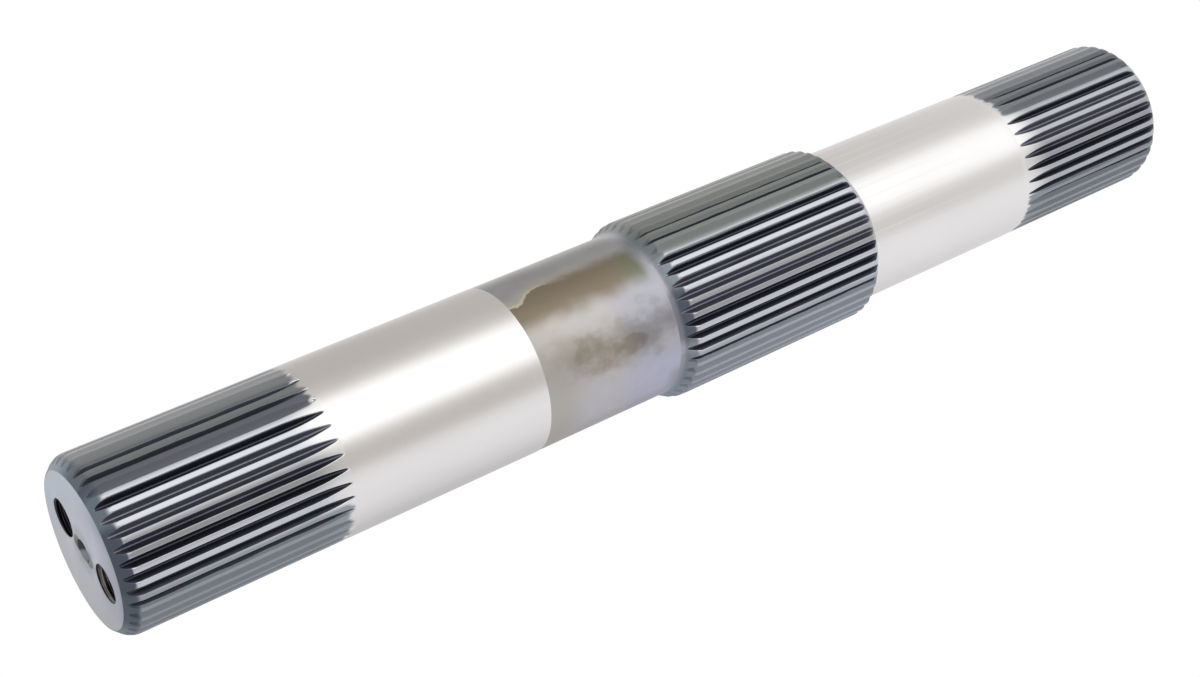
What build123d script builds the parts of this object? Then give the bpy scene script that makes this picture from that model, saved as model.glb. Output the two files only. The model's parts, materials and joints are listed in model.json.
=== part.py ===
from build123d import *
import math
import os

# A one-piece lift arm shaft for a tractor's hydraulic lift, in millimetres and degrees.
# It stands on its far end: the shaft's axis is Z, and its far end face is at z = 0.
# The end called near is the upper one.

# Splines: flanks at 60 degrees to each other, all cut with one hob
module = 1.27
flank_angle = 30.0
near_teeth = 38
centre_teeth = 42
far_teeth = 37
hob_radius = 38.0
hob_to_taper = 0.3
near_groove_azimuth = 0.0
centre_groove_azimuth = 1.5
far_groove_azimuth = -1.7

# Lengths along the shaft, from the near end to the far end
near_spline_length = 65.0
near_journal_length = 62.3
plain_band_length = 45.2
centre_spline_length = 76.4
far_journal_length = 65.1
far_spline_length = 62.5

# The journals stand just proud of the bands beside them, with a lead-in taper for the bush
journal_rise = 0.05
lead_in_length = 0.8
plain_band_drop = 0.1

# Ends of the splines
near_chamfer = 2.8
far_chamfer = 2.1
shoulder_angle = 30.0

# Holes in the end faces: the tapped ones take two M12 bolts, in line along X near and along Y far
bolt_spacing = 23.5
near_bolt_azimuth = 0.0
far_bolt_azimuth = 90.0
countersink_diameter = 11.7
tap_drill_diameter = 10.2
tapped_depth = 28.0
centre_hole_diameter = 6.3
centre_pilot_diameter = 2.5
centre_pilot_depth = 6.0
drill_point_angle = 118.0
thread_countersink_angle = 120.0
centre_countersink_angle = 60.0

# How far a cutting tool reaches past the surface that it leaves
overrun = 0.6


def tip_radius(teeth):
    return module * (teeth + 1) / 2


def root_radius(teeth):
    return module * (teeth - 2) / 2


# Heights of the steps, from the far end face
far_spline_top = far_spline_length
centre_spline_bottom = far_spline_top + far_journal_length
centre_spline_top = centre_spline_bottom + centre_spline_length
plain_band_top = centre_spline_top + plain_band_length
near_spline_bottom = plain_band_top + near_journal_length
overall_length = near_spline_bottom + near_spline_length

# Radii of the turned blank
near_radius = tip_radius(near_teeth)
centre_radius = tip_radius(centre_teeth)
far_radius = tip_radius(far_teeth)
near_journal_radius = near_radius + journal_rise
far_journal_radius = far_radius + journal_rise
plain_band_radius = near_journal_radius - plain_band_drop


def turned_blank():
    """The blank as it leaves the lathe and the grinder, before the splines are cut."""
    shoulder_length = (centre_radius - plain_band_radius) / math.tan(math.radians(shoulder_angle))
    back_chamfer = centre_radius - far_journal_radius
    outline = Polyline(
        (0, 0),
        (far_radius - far_chamfer, 0),
        (far_radius, far_chamfer),
        (far_radius, far_spline_top),
        (far_journal_radius, far_spline_top + lead_in_length),
        (far_journal_radius, centre_spline_bottom),
        (centre_radius, centre_spline_bottom + back_chamfer),
        (centre_radius, centre_spline_top - shoulder_length),
        (plain_band_radius, centre_spline_top),
        (plain_band_radius, plain_band_top),
        (near_journal_radius, plain_band_top + lead_in_length),
        (near_journal_radius, near_spline_bottom - lead_in_length),
        (near_radius, near_spline_bottom),
        (near_radius, overall_length - near_chamfer),
        (near_radius - near_chamfer, overall_length),
        (0, overall_length),
        close=True,
    )
    return revolve(Plane.XZ * make_face(outline), Axis.Z)


def tooth_space(teeth):
    """The section of one groove on the X axis: straight flanks down to a narrow flat root."""
    pitch_radius = module * teeth / 2
    half_space = math.pi * module / 4
    slope = math.tan(math.radians(flank_angle))
    root = root_radius(teeth)
    outer = tip_radius(teeth) + overrun
    root_half = half_space - (pitch_radius - root) * slope
    outer_half = half_space + (outer - pitch_radius) * slope
    outline = Polyline(
        (outer, outer_half), (root, root_half), (root, -root_half), (outer, -outer_half), close=True
    )
    return make_face(outline)


def rise_angle(depth):
    """The turn about the hob's axis that brings a groove's root up by this depth."""
    return math.degrees(math.acos(1 - depth / hob_radius))


def groove_cutter(teeth, end_height, journal_height):
    """One groove cut in from a shaft end, with a root that rises along the hob's rim by the journal."""
    depth = tip_radius(teeth) - root_radius(teeth)
    run_out_length = hob_radius * math.sin(math.radians(rise_angle(depth)))
    outward = math.copysign(1, end_height - journal_height)
    full_depth_end = journal_height + outward * (hob_to_taper + run_out_length)
    section = Pos(0, 0, full_depth_end) * tooth_space(teeth)
    straight = extrude(section, amount=outward * (abs(end_height - full_depth_end) + overrun))
    hob_axis = Axis((root_radius(teeth) + hob_radius, 0, full_depth_end), (0, -outward, 0))
    run_out = revolve(section, hob_axis, rise_angle(depth + overrun))
    return straight + run_out


def through_cutter(teeth, bottom, top):
    """One groove that runs out at both ends of the spline, over the lower bands beside it."""
    section = Pos(0, 0, bottom - overrun) * tooth_space(teeth)
    return extrude(section, amount=top - bottom + 2 * overrun)


def around(cutter, teeth, azimuth):
    """The same cutter at every groove of a spline."""
    return [Rot(0, 0, azimuth + 360 * number / teeth) * cutter for number in range(teeth)]


def drilled_hole(diameter, depth, mouth_diameter, mouth_angle):
    """A blind hole down from z = 0, with a drill point and a countersunk mouth."""
    point = diameter / 2 / math.tan(math.radians(drill_point_angle / 2))
    mouth_slope = math.tan(math.radians(mouth_angle / 2))
    mouth_depth = (mouth_diameter - diameter) / 2 / mouth_slope
    outline = Polyline(
        (0, overrun),
        (mouth_diameter / 2 + overrun * mouth_slope, overrun),
        (diameter / 2, -mouth_depth),
        (diameter / 2, -depth),
        (0, -depth - point),
        close=True,
    )
    return revolve(Plane.XZ * make_face(outline), Axis.Z)


def end_holes(azimuth):
    """Two tapped holes and a lathe centre in one end face at z = 0."""
    tapped = drilled_hole(
        tap_drill_diameter, tapped_depth, countersink_diameter, thread_countersink_angle
    )
    centre = drilled_hole(
        centre_pilot_diameter, centre_pilot_depth, centre_hole_diameter, centre_countersink_angle
    )
    pair = [Rot(0, 0, azimuth + turn) * Pos(bolt_spacing / 2, 0, 0) * tapped for turn in (0, 180)]
    return pair + [centre]


def lift_arm_shaft():
    near_cutter = groove_cutter(near_teeth, overall_length, near_spline_bottom)
    centre_cutter = through_cutter(centre_teeth, centre_spline_bottom, centre_spline_top)
    far_cutter = groove_cutter(far_teeth, 0, far_spline_top)
    shaft = turned_blank()
    shaft -= around(near_cutter, near_teeth, near_groove_azimuth)
    shaft -= around(centre_cutter, centre_teeth, centre_groove_azimuth)
    shaft -= around(far_cutter, far_teeth, far_groove_azimuth)
    shaft -= [Pos(0, 0, overall_length) * hole for hole in end_holes(near_bolt_azimuth)]
    shaft -= [Rot(180, 0, 0) * hole for hole in end_holes(far_bolt_azimuth)]
    return shaft.solid()


os.makedirs("parts", exist_ok=True)
export_step(lift_arm_shaft(), "parts/lift_arm_shaft.step")
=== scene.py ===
import json
import math

import bpy
import numpy as np
from mathutils import Matrix, Vector
from mathutils.geometry import delaunay_2d_cdt


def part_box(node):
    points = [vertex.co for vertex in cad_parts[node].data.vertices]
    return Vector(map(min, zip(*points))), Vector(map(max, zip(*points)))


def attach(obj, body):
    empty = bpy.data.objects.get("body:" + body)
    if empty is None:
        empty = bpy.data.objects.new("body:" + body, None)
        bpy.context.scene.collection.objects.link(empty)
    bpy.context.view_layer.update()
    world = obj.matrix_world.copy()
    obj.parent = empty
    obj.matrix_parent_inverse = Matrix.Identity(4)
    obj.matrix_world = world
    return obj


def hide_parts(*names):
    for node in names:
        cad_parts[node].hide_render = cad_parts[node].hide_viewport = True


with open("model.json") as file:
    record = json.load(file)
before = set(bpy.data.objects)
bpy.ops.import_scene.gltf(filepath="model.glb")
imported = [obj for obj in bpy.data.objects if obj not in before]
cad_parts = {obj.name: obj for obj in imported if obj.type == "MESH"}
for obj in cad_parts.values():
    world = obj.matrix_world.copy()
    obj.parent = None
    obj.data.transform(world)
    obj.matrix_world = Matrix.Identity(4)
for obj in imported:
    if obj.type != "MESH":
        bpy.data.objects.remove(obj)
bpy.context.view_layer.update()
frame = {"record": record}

bl_info = {
    "name": "Lift arm shaft",
    "version": (1, 0, 0),
    "blender": (4, 5, 0),
    "location": "3D View > Sidebar > Lift Shaft",
    "description": "Builds a splined lift arm shaft with its steel finishes, a white studio and a camera",
    "category": "Add Mesh",
}

NODE = "lift_arm_shaft"
MM = 0.001

# Bands along the shaft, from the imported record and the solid's own box
mounts = {mount["name"]: mount for mount in frame["record"]["mounts"]}


def journal_span(name):
    """The lowest and highest point of a ground journal."""
    mount = mounts[name]
    half = mount["dims"]["length_mm"] * MM / 2
    return mount["pos_m"][2] - half, mount["pos_m"][2] + half


def journal_radius(name):
    return mounts[name]["dims"]["r_mm"] * MM


far_journal_bottom, far_journal_top = journal_span("far_journal")
near_journal_bottom, near_journal_top = journal_span("near_journal")
overall_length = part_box(NODE)[1].z
centre_spline_bottom = far_journal_top
centre_spline_top = 2 * mounts["centre_spline"]["pos_m"][2] - centre_spline_bottom
near_bolt_spacing = mounts["near_end_bolts"]["dims"]["spacing_x_mm"] * MM
far_bolt_spacing = mounts["far_end_bolts"]["dims"]["spacing_y_mm"] * MM
tap_drill_radius = mounts["near_end_bolts"]["dims"]["hole_r_mm"] * MM

# How finely the mesh follows each form
EDGE_ROWS = 2
FOOT_ROWS = 3
FILLET_ROWS = 7
EXIT_ROWS = 7
RUN_OUT_ROWS = 16
ROOT_STEPS = 3
COLUMNS_PER_PITCH = 2 * ROOT_STEPS + 8
HOLE_COLUMNS = 40
THREAD_ROWS_PER_TURN = 7
MOUTH_ROWS = 2
BISECTIONS = 30
SMALLEST_GROOVE = 0.05 * MM
STITCH_LENGTH = 1.0 * MM

# How an end face is cut into triangles: only inside its outlines, and with points that are nearer
# than this to each other, in millimetres, taken as one
INSIDE_OUTLINES = 1
SAME_POINT = 1e-6

# Largest shares that a tooth's broken edge takes of half a groove and of half a land, and that the
# rounded root takes of half a groove
BEVEL_OF_GROOVE, BEVEL_OF_LAND = 1 / 3, 1 / 2
ROOT_OF_GROOVE = 0.6

# The thread's vee: how much steeper it is than a plain zigzag, and what its flat crest takes off it
VEE_STEEPNESS, VEE_CREST = 1.25, 0.12

# How far the rim of a hole is sunk, as a share of the broken edge
RIM_DROP = 1 / 3

# Material slots of the shaft's mesh
WORKED, STAINED, FACED, TAPPED, CENTRED = range(5)

# What each point of the mesh tells the materials
POINT_VALUES = ("sunk", "blackened", "polish", "tilt")

# How far below the teeth's tops an end turns from bright to black
BLACK_FROM, BLACK_TO = 0.04 * MM, 0.45 * MM

# Share of the shoulder's length, measured outwards, over which it turns black
SHOULDER_FADE = 0.2

# Oil on the splines, with painted shade and light on their upper and lower sides: sectors, from and to an
# azimuth in degrees, where they dim and tint the teeth
FILM_AND_SHADING_SECTORS = ((81.5, 150), (-54, 17))
FILM_AND_SHADING_EDGE = 3

# From and to an azimuth, how many millimetres below the teeth's tops the grooves turn black,
# being filled with oil and painted bright above that, as painted light: first on the near spline, then on the
# other two
GROOVE_FILL_AND_LIGHT = (
    (63, 80, 0.15, 0.3),
    (81.5, 92, 2.4, 2.4),
    (92, 108.5, 0.45, 0.66),
    (108.5, 119, 1.3, 2.4),
    (119, 150, 2.4, 2.4),
    (6, 15, 0.45, 0.55),
    (-3, 6, 1.4, 1.4),
    (-54, -3, 2.4, 2.4),
)
GROOVE_FILL_AND_LIGHT_EDGE = 2

# How far below that depth of oil and painted light, in millimetres, the surface turns to that of a groove
GROOVE_FROM, GROOVE_TO = 0.03, 0.2

# Polish between which the oil and its painted shade and light end beside a journal, first raggedly and then
# in any case
RAGGED_SHADING_END, SHARP_SHADING_END = (0.98, 0.75), (1.0, 0.97)

# Blackness between which the uneven edge of a black end fades in
BLACK_EDGE = (0.02, 0.32)

# Distance each side of a border, in millimetres, over which a spline's finish turns to its neighbour's
BORDER = 1

# The rounding round the shoulder's foot, rougher and dimmed as painted shade: how far it reaches below and
# above it, and how soft its edges are, in millimetres
FOOT_BELOW, FOOT_ABOVE, FOOT_EDGE = 2.6, 5, 2.2

# Strips along the shaft: from and to an azimuth, and how soft their edges are, in degrees
# Painted shade on the teeth in one strip, and painted light beside it
SHADED_TEETH = (31, 57, 6)
LIT_TEETH = (20, 38, 5)
# A strip of painted shade over the near spline's oil
DARK_SHADE_STRIP = (80, 96, 4)
# Painted light that greys the grooves in one strip
LIT_GROOVES = (43, 74, 8)
# Painted light on the black ends in one strip
LIT_ENDS = (58, 92, 8)
# A sector where the ends take less of the oil's painted shade and light
LESS_FILM_AND_SHADING_ON_ENDS = (-26, 96, 20)
# Painted shade in one strip facing the front
FORWARD_SHADE_STRIP = (20, 64, 9)
# Painted shade and light in the oil's colours beside the shoulder, above and below
SHOULDER_SHADING_ABOVE = (84, 178, 18)
SHOULDER_SHADING_BELOW = (-90, 17, 22)
STAINED_SIDE = (-110, 178, 25)

# Azimuths in degrees between which one finish turns into another
# The oil's colour turns to painted light on the lower side and towards the top
TO_LOW_FILM_LIGHT = (60, 20)
TO_TOP_FILM_LIGHT = (104, 130)
TO_GREEN_FILM = (60, 100)
TO_UPPER_PLAIN = (82, 96)
# Painted light towards the top of the plain band, lilac painted light on its lower side and painted shade
# towards its bottom
TO_TOP_LIGHT_PLAIN = (116, 140)
TO_LILAC_LIGHT_PLAIN = (32, 10)
TO_LOWEST_SHADE_PLAIN = (-4, -18)
TO_GREY_MARGIN = (85, 76)
TO_OLIVE = (67, 83)

# Heights above the shoulder's foot, in millimetres, between which a finish of the plain band
# begins or ends
GREY_MARGIN = (31, 42)
OLIVE_START = (0, 4)
OLIVE_TO_GREEN = (13, 3)
STAIN_EDGE_SOFTENS = (36, 24)
STAIN_EDGE_FALLS = (34, 44)
HALO_START = (12, 24)
DRIED_LINE_START = (28, 36)
# How far that painted shade and light reaches up from the shoulder
SHOULDER_SHADING_REACH = (6, 0)
SHOULDER_SHADING_ALWAYS = (1, 0)

# Edge of the olive stain: its azimuth, which falls beside the journal, and its softness, which
# grows towards the shoulder, all in degrees
STAIN_EDGE, STAIN_EDGE_FALL = 101.0, -10.0
STAIN_EDGE_SOFTNESS, STAIN_EDGE_SOFTER = 0.6, 4.5

# Degrees from that edge between which its halo and its dried line fade in
HALO_FADE = (12, 0)
DRIED_LINE_FADE = (1.6, 0.5)

# Brown blotches on the plain band: centres and half widths, both as degrees round the shaft and
# millimetres along it, and how strong they are, with the thin wash round them
BLOTCHES = (((44, 25.5), (13, 8.5), 1.0), ((39.5, 16.3), (8.5, 4.8), 0.8))
WASH, WASH_STRENGTH = ((44, 21), (15, 24)), 0.45

# Distances from a wash's and a blotch's centre, its edge being 1, between which they fade in
WASH_FADE, BLOTCH_FADE = (1.4, 0.4), (1.45, 0.25)

# Painted light and shade on the end faces: the middle of a painted pool of light, and the distance from the
# axis and the size of the painted shade at the lathe centre
BRIGHTEST_ON_FACE = (-6 * MM, 0.0, 0.0)
SHADE_MARK_DISTANCE = 2.7 * MM
SHADE_MARK_REACH = 3.1 * MM
SHADE_MARK_CORE = 0.7 * SHADE_MARK_REACH

# Distances between which an end face turns to painted shade away from its painted brightest place, to a
# cooler painted reflection towards its upper rim, to a warmer painted reflection towards its lower side, and
# to worn steel towards the lathe centre
FACE_SHADE_REACH = (9 * MM, 34 * MM)
COOL_RIM_REFLECTION = (8 * MM, 18 * MM)
WARM_SIDE_REFLECTION = (2 * MM, -12 * MM)
WORN_REACH = (8.5 * MM, 4.5 * MM)

# Distances from the axis along X between which a tapped hole turns browner, as sludge with a painted glint
BROWN_GLINT_SIDE = (4 * MM, 6 * MM)

# Studio light, as factors of white paper's brightness
NEUTRAL = (1.0, 1.0, 1.0)
WARM = (1.0, 0.95, 0.90)
LILAC = (0.985, 0.97, 1.0)
BRIGHTEST = 2.0

# Brightness of the light by azimuth in degrees, at the height that the shaft's sides mirror
LIGHT_BANDS = (
    (-180, 0.68, WARM),
    (-156, 0.79, WARM),
    (-138, 1.03, LILAC),
    (-108, 0.68, LILAC),
    (-84, 0.72, LILAC),
    (-60, 0.93, LILAC),
    (-36, 1.10, LILAC),
    (-12, 1.17, LILAC),
    (6, 1.15, LILAC),
    (22, 0.69, WARM),
    (36, 0.70, WARM),
    (44, 0.75, WARM),
    (60, 1.80, NEUTRAL),
    (98, 1.80, NEUTRAL),
    (122, 0.75, WARM),
    (145, 0.67, WARM),
    (165, 0.69, WARM),
)
FLOOR_GLOW = (1.2, 1.2, 1.22)
FLOOR_GLOW_FROM, FLOOR_GLOW_TO = -0.38, -1.0
CEILING = (0.78, 0.86, 0.90)
CEILING_FROM, CEILING_TO = 0.0, 0.45
FACE_LIGHT = (-0.513, -0.760, 0.397)
FACE_LIGHT_COLOR = (0.86, 0.87, 0.90)
FACE_LIGHT_EDGE, FACE_LIGHT_CORE = 0.8, 0.95

# The studio's round floor, the curve that takes it up into the wall, and how finely both are cut
FLOOR_RADIUS = 4.0
CURVE_RADIUS = 1.0
WALL_TOP = 6.0
WALL_COLUMNS = 64
CURVE_ROWS = 12

# Camera, from the perspective of the photograph
CAMERA_POSITION = (0.28399, 0.41623, 0.49722)
CAMERA_AZIMUTH = math.radians(-124.0)
CAMERA_ELEVATION = math.radians(-29.147)
CAMERA_ROLL = math.radians(-113.438)
CAMERA_LENS = 59.714
CAMERA_SENSOR = 36.0
CAMERA_CLIP = 0.01


def length_property(name, description, length):
    return bpy.props.FloatProperty(name=name, description=description, default=length, unit="LENGTH")


def angle_property(name, description, degrees):
    angle = math.radians(degrees)
    return bpy.props.FloatProperty(name=name, description=description, default=angle, unit="ROTATION")


def count_property(name, description, count):
    return bpy.props.IntProperty(name=name, description=description, default=count)


def color_property(name, description, color):
    return bpy.props.FloatVectorProperty(name=name, description=description, default=color, subtype="COLOR")


def share_property(name, description, share):
    return bpy.props.FloatProperty(
        name=name, description=description, default=share, min=0.0, max=1.0, subtype="FACTOR"
    )


class ShaftSizes(bpy.types.PropertyGroup):
    """Sizes of the forms that are cut and ground into the shaft"""

    tooth_module: length_property("Tooth module", "Pitch diameter for each tooth", 1.27 * MM)
    flank_angle: angle_property("Flank angle", "Lean of a tooth's flank", 30)
    near_teeth: count_property("Near teeth", "Teeth of the spline at the upper end", 38)
    centre_teeth: count_property("Centre teeth", "Teeth of the large spline in the middle", 42)
    far_teeth: count_property("Far teeth", "Teeth of the spline at the lower end", 37)
    centre_azimuth: angle_property("Centre azimuth", "Turn of the centre grooves", 1.5)
    far_azimuth: angle_property("Far azimuth", "Turn of the far grooves", -1.7)
    hob_radius: length_property("Hob radius", "Radius on which the grooves run out", 38 * MM)
    hob_to_taper: length_property("Hob to taper", "Gap from a run-out to the journal's taper", 0.3 * MM)
    lead_in_length: length_property("Lead-in", "Length of the taper at a journal's end", 0.8 * MM)
    plain_band_drop: length_property("Plain band drop", "Step down from the near journal", 0.1 * MM)
    near_chamfer: length_property("Near chamfer", "Chamfer of the upper end", 2.8 * MM)
    far_chamfer: length_property("Far chamfer", "Chamfer of the lower end", 2.1 * MM)
    shoulder_angle: angle_property("Shoulder angle", "Slope of the centre spline's upper end", 30)
    near_fillet: length_property("Near fillet", "Rounding of the upper chamfer's edge", 5.0 * MM)
    far_fillet: length_property("Far fillet", "Rounding of the lower chamfer's edge", 4.0 * MM)
    foot_fillet: length_property("Foot fillet", "Rounding at the foot of the shoulder", 2.2 * MM)
    back_fillet: length_property("Back fillet", "Rounding at the back of the centre spline", 1.1 * MM)
    shoulder_fillet: length_property("Shoulder fillet", "Rounding at the top of the shoulder", 3.5 * MM)
    edge_round: length_property("Edge rounding", "Broken edge of each tooth", 0.14 * MM)
    end_rounding: bpy.props.FloatProperty(
        name="End rounding", description="Growth of the broken edge where a tooth slopes down", default=5.0
    )
    countersink_radius: length_property("Countersink", "Mouth radius of a tapped hole", 5.85 * MM)
    countersink_angle: angle_property("Countersink angle", "Whole angle of a tapped hole's mouth", 120)
    thread_pitch: length_property("Thread pitch", "Pitch of the thread", 1.75 * MM)
    thread_depth: length_property("Thread depth", "Depth of the thread's groove", 0.9 * MM)
    thread_length: length_property("Thread length", "Length of the full thread", 24 * MM)
    drill_depth: length_property("Drill depth", "Depth of the drilled wall", 28 * MM)
    drill_point_angle: angle_property("Drill point", "Whole angle at the bottom of a drilled hole", 118)
    centre_radius: length_property("Centre hole", "Mouth radius of the lathe centre", 3.15 * MM)
    centre_angle: angle_property("Centre angle", "Whole angle of the lathe centre's cone", 60)
    pilot_radius: length_property("Pilot", "Radius of the lathe centre's pilot hole", 1.25 * MM)
    pilot_depth: length_property("Pilot depth", "Depth of the pilot hole's wall", 6 * MM)


class ShaftFinish(bpy.types.PropertyGroup):
    """Colours of the steel's finishes, and of the painted shade, light and reflections laid over them"""

    land_color: color_property("Land", "Tops of the teeth", (0.42, 0.435, 0.465))
    # The oil's colours: a darker painted shade on the splines' upper side, and lighter painted light on their
    # lower side and towards their top
    film_shading_color: color_property("Oil film", "Oil on the upper side of the splines", (0.215, 0.232, 0.245))
    top_film_light_color: color_property("High oil film", "Oil near the top of the splines", (0.54, 0.555, 0.59))
    low_film_light_color: color_property("Low oil film", "Oil on the lower side of the splines", (0.27, 0.30, 0.33))
    black_color: color_property("Black", "Blackened tooth ends", (0.092, 0.100, 0.122))
    deep_color: color_property("Deep black", "Blackened grooves", (0.05, 0.055, 0.07))
    # Painted light that greys the grooves' black in one strip; a darker copy of it is the near spline's strip
    # of painted shade
    groove_light_color: color_property("Haze", "Grooves that a dry film has greyed", (0.18, 0.185, 0.22))
    ground_color: color_property("Ground", "Ground journals", (0.66, 0.65, 0.64))
    plain_color: color_property("Plain band", "Clean steel of the plain band", (0.375, 0.365, 0.400))
    bluish_color: color_property("Bluish plain", "Bluer parts of the plain band", (0.352, 0.358, 0.395))
    upper_color: color_property("Upper plain", "Upper side of the plain band", (0.33, 0.33, 0.335))
    grey_color: color_property("Grey margin", "Plain band beside the near journal", (0.325, 0.32, 0.33))
    # A lighter lilac, as painted light on the plain band's lower side
    lilac_light_color: color_property("Lower side", "Plain band on its lower side", (0.39, 0.395, 0.48))
    olive_color: color_property("Olive stain", "Stain along the plain band's upper side", (0.215, 0.18, 0.13))
    green_color: color_property("Green stain", "Stain beside the shoulder", (0.17, 0.18, 0.13))
    brown_color: color_property("Brown stain", "Blotches on the side of the plain band", (0.16, 0.138, 0.12))
    pale_color: color_property("Pale edge", "Dried edge of the olive stain", (0.50, 0.46, 0.36))
    faced_color: color_property("Faced", "Turned end faces", (0.53, 0.54, 0.60))
    # Painted reflections and painted shade on the end faces: warmer below, cooler at the upper rim, and
    # darker away from their brightest place
    warm_reflection_color: color_property("Warm face", "Lower side of an end face", (0.46, 0.45, 0.44))
    cool_reflection_color: color_property("Cool face", "Upper rim of an end face", (0.45, 0.50, 0.55))
    face_shade_color: color_property("Dull face", "Side of an end face dulled by hands", (0.20, 0.215, 0.265))
    centred_color: color_property("Lathe centre", "Worn steel at a lathe centre", (0.37, 0.365, 0.37))
    # Dark with oil and painted shade in the holes, and also the painted shade at the lathe centre; the next
    # is brown sludge with a painted glint
    hole_oil_and_shade_color: color_property("Tapped", "Oily threads", (0.05, 0.042, 0.045))
    sludge_and_glint_color: color_property("Sludge", "Brown oil in one of the tapped holes", (0.27, 0.235, 0.21))
    near_bright_flank: share_property("Near flank", "Bright share of a near groove's depth", 0.05)
    centre_bright_flank: share_property("Centre flank", "Bright share of a centre groove's depth", 0.27)
    far_bright_flank: share_property("Far flank", "Bright share of a far groove's depth", 0.18)
    shoulder_black: share_property("Shoulder black", "How black the centre spline's shoulder is", 0.5)


class Spline:
    """The grooves of one spline, all alike: how wide and deep they are at any height."""

    def __init__(self, sizes, teeth, azimuth, bright_flank, journal_end=0.0, outward=0):
        """bright_flank is the share of a groove's depth that stays bright.

        outward is +1 for grooves that leave the shaft upwards, -1 downwards and 0 both ways.
        """
        self.bright_flank = bright_flank
        self.teeth = teeth
        self.azimuth = azimuth
        self.outward = outward
        self.hob_radius = sizes.hob_radius
        self.edge_round = sizes.edge_round
        self.end_rounding = sizes.end_rounding
        self.tip_radius = sizes.tooth_module * (teeth + 1) / 2
        self.root_radius = sizes.tooth_module * (teeth - 2) / 2
        self.slope = math.tan(sizes.flank_angle)
        pitch_height = sizes.tooth_module * teeth / 2 - self.root_radius
        self.root_half = math.pi * sizes.tooth_module / 4 - pitch_height * self.slope
        lean = sizes.flank_angle
        self.root_arc = self.root_half / (math.cos(lean) - (1 - math.sin(lean)) * self.slope)
        self.arc_end = self.root_arc * math.cos(lean)
        self.widest = self.root_half + 2 * pitch_height * self.slope
        self.run_out_end = journal_end + outward * sizes.hob_to_taper
        self.full_depth_end = self.run_out_end + outward * self.run_out_length(self.depth)

    @property
    def depth(self):
        return self.tip_radius - self.root_radius

    def run_out_length(self, rise):
        """How far along the shaft the root takes to rise by this much."""
        return math.sqrt(self.hob_radius**2 - (self.hob_radius - rise) ** 2)

    def section_rise(self, offset):
        """Height of the groove's section above its root, at a distance from its middle plane."""
        if offset < self.arc_end:
            return self.root_arc - math.sqrt(self.root_arc**2 - offset**2)
        return (offset - self.root_half) / self.slope

    def surface(self, offset, height):
        """Distance of the groove's surface from the shaft's axis, along the groove's middle plane."""
        rim = self.hob_radius - self.section_rise(offset)
        beyond = max(0.0, self.outward * (self.full_depth_end - height))
        return self.root_radius + self.hob_radius - math.sqrt(max(rim**2 - beyond**2, 0.0))

    def bright_radius(self, blank_radius, height):
        """The radius above which the flanks are bright."""
        return blank_radius - self.bright_flank * max(0.0, blank_radius - self.surface(0.0, height))

    def edge_offset(self, blank_radius, height):
        """Distance from the groove's middle plane to the edge of the land beside it."""
        low, high = 0.0, self.widest
        for _ in range(BISECTIONS):
            middle = (low + high) / 2
            if math.hypot(self.surface(middle, height), middle) < blank_radius:
                low = middle
            else:
                high = middle
        return max(low, SMALLEST_GROOVE)

    def half_groove(self, blank_radius, height):
        """Points from the middle of a groove to the middle of the land beside it, as x and y."""
        edge = self.edge_offset(blank_radius, height)
        edge_angle = math.asin(edge / blank_radius)
        half_pitch = math.pi / self.teeth
        land = (half_pitch - edge_angle) * blank_radius
        broken = self.edge_round + self.end_rounding * (self.tip_radius - blank_radius)
        bevel = min(broken, edge * BEVEL_OF_GROOVE, land * BEVEL_OF_LAND)
        arc_end = min(self.arc_end, edge * ROOT_OF_GROOVE)
        offsets = [arc_end * step / ROOT_STEPS for step in range(ROOT_STEPS + 1)]
        offsets.append(edge - bevel / 2)
        points = []
        for offset in offsets:
            limit = math.sqrt(blank_radius**2 - offset**2)
            points.append((min(self.surface(offset, height), limit), offset))
        land_start = edge_angle + bevel / blank_radius
        land_point = (blank_radius * math.cos(land_start), blank_radius * math.sin(land_start))
        corner = (blank_radius * math.cos(edge_angle), edge)
        points.append(tuple(c / 2 + (a + b) / 4 for a, b, c in zip(points[-1], land_point, corner)))
        points.append(land_point)
        points.append((blank_radius * math.cos(half_pitch), blank_radius * math.sin(half_pitch)))
        return points

    def grooved_ring(self, blank_radius, height):
        """A ring of points round the shaft that dips into every groove."""
        half = np.array([complex(x, y) for x, y in self.half_groove(blank_radius, height)])
        pitch = 2 * math.pi / self.teeth
        mirrored = np.conj(half[-2:0:-1]) * np.exp(1j * pitch)
        pattern = np.concatenate([half, mirrored])
        turns = np.exp(1j * (self.azimuth + pitch * np.arange(self.teeth)))
        return ring_points((turns[:, None] * pattern[None, :]).ravel(), height)

    def round_ring(self, radius, height):
        """A plain ring with as many points as a grooved one."""
        count = self.teeth * COLUMNS_PER_PITCH
        turns = np.exp(1j * (self.azimuth + 2 * math.pi * np.arange(count) / count))
        return ring_points(radius * turns, height)


def ring_points(plan, height):
    """Points in space from complex numbers in the plane across the shaft."""
    return np.column_stack([plan.real, plan.imag, np.full(len(plan), height)])


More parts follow.
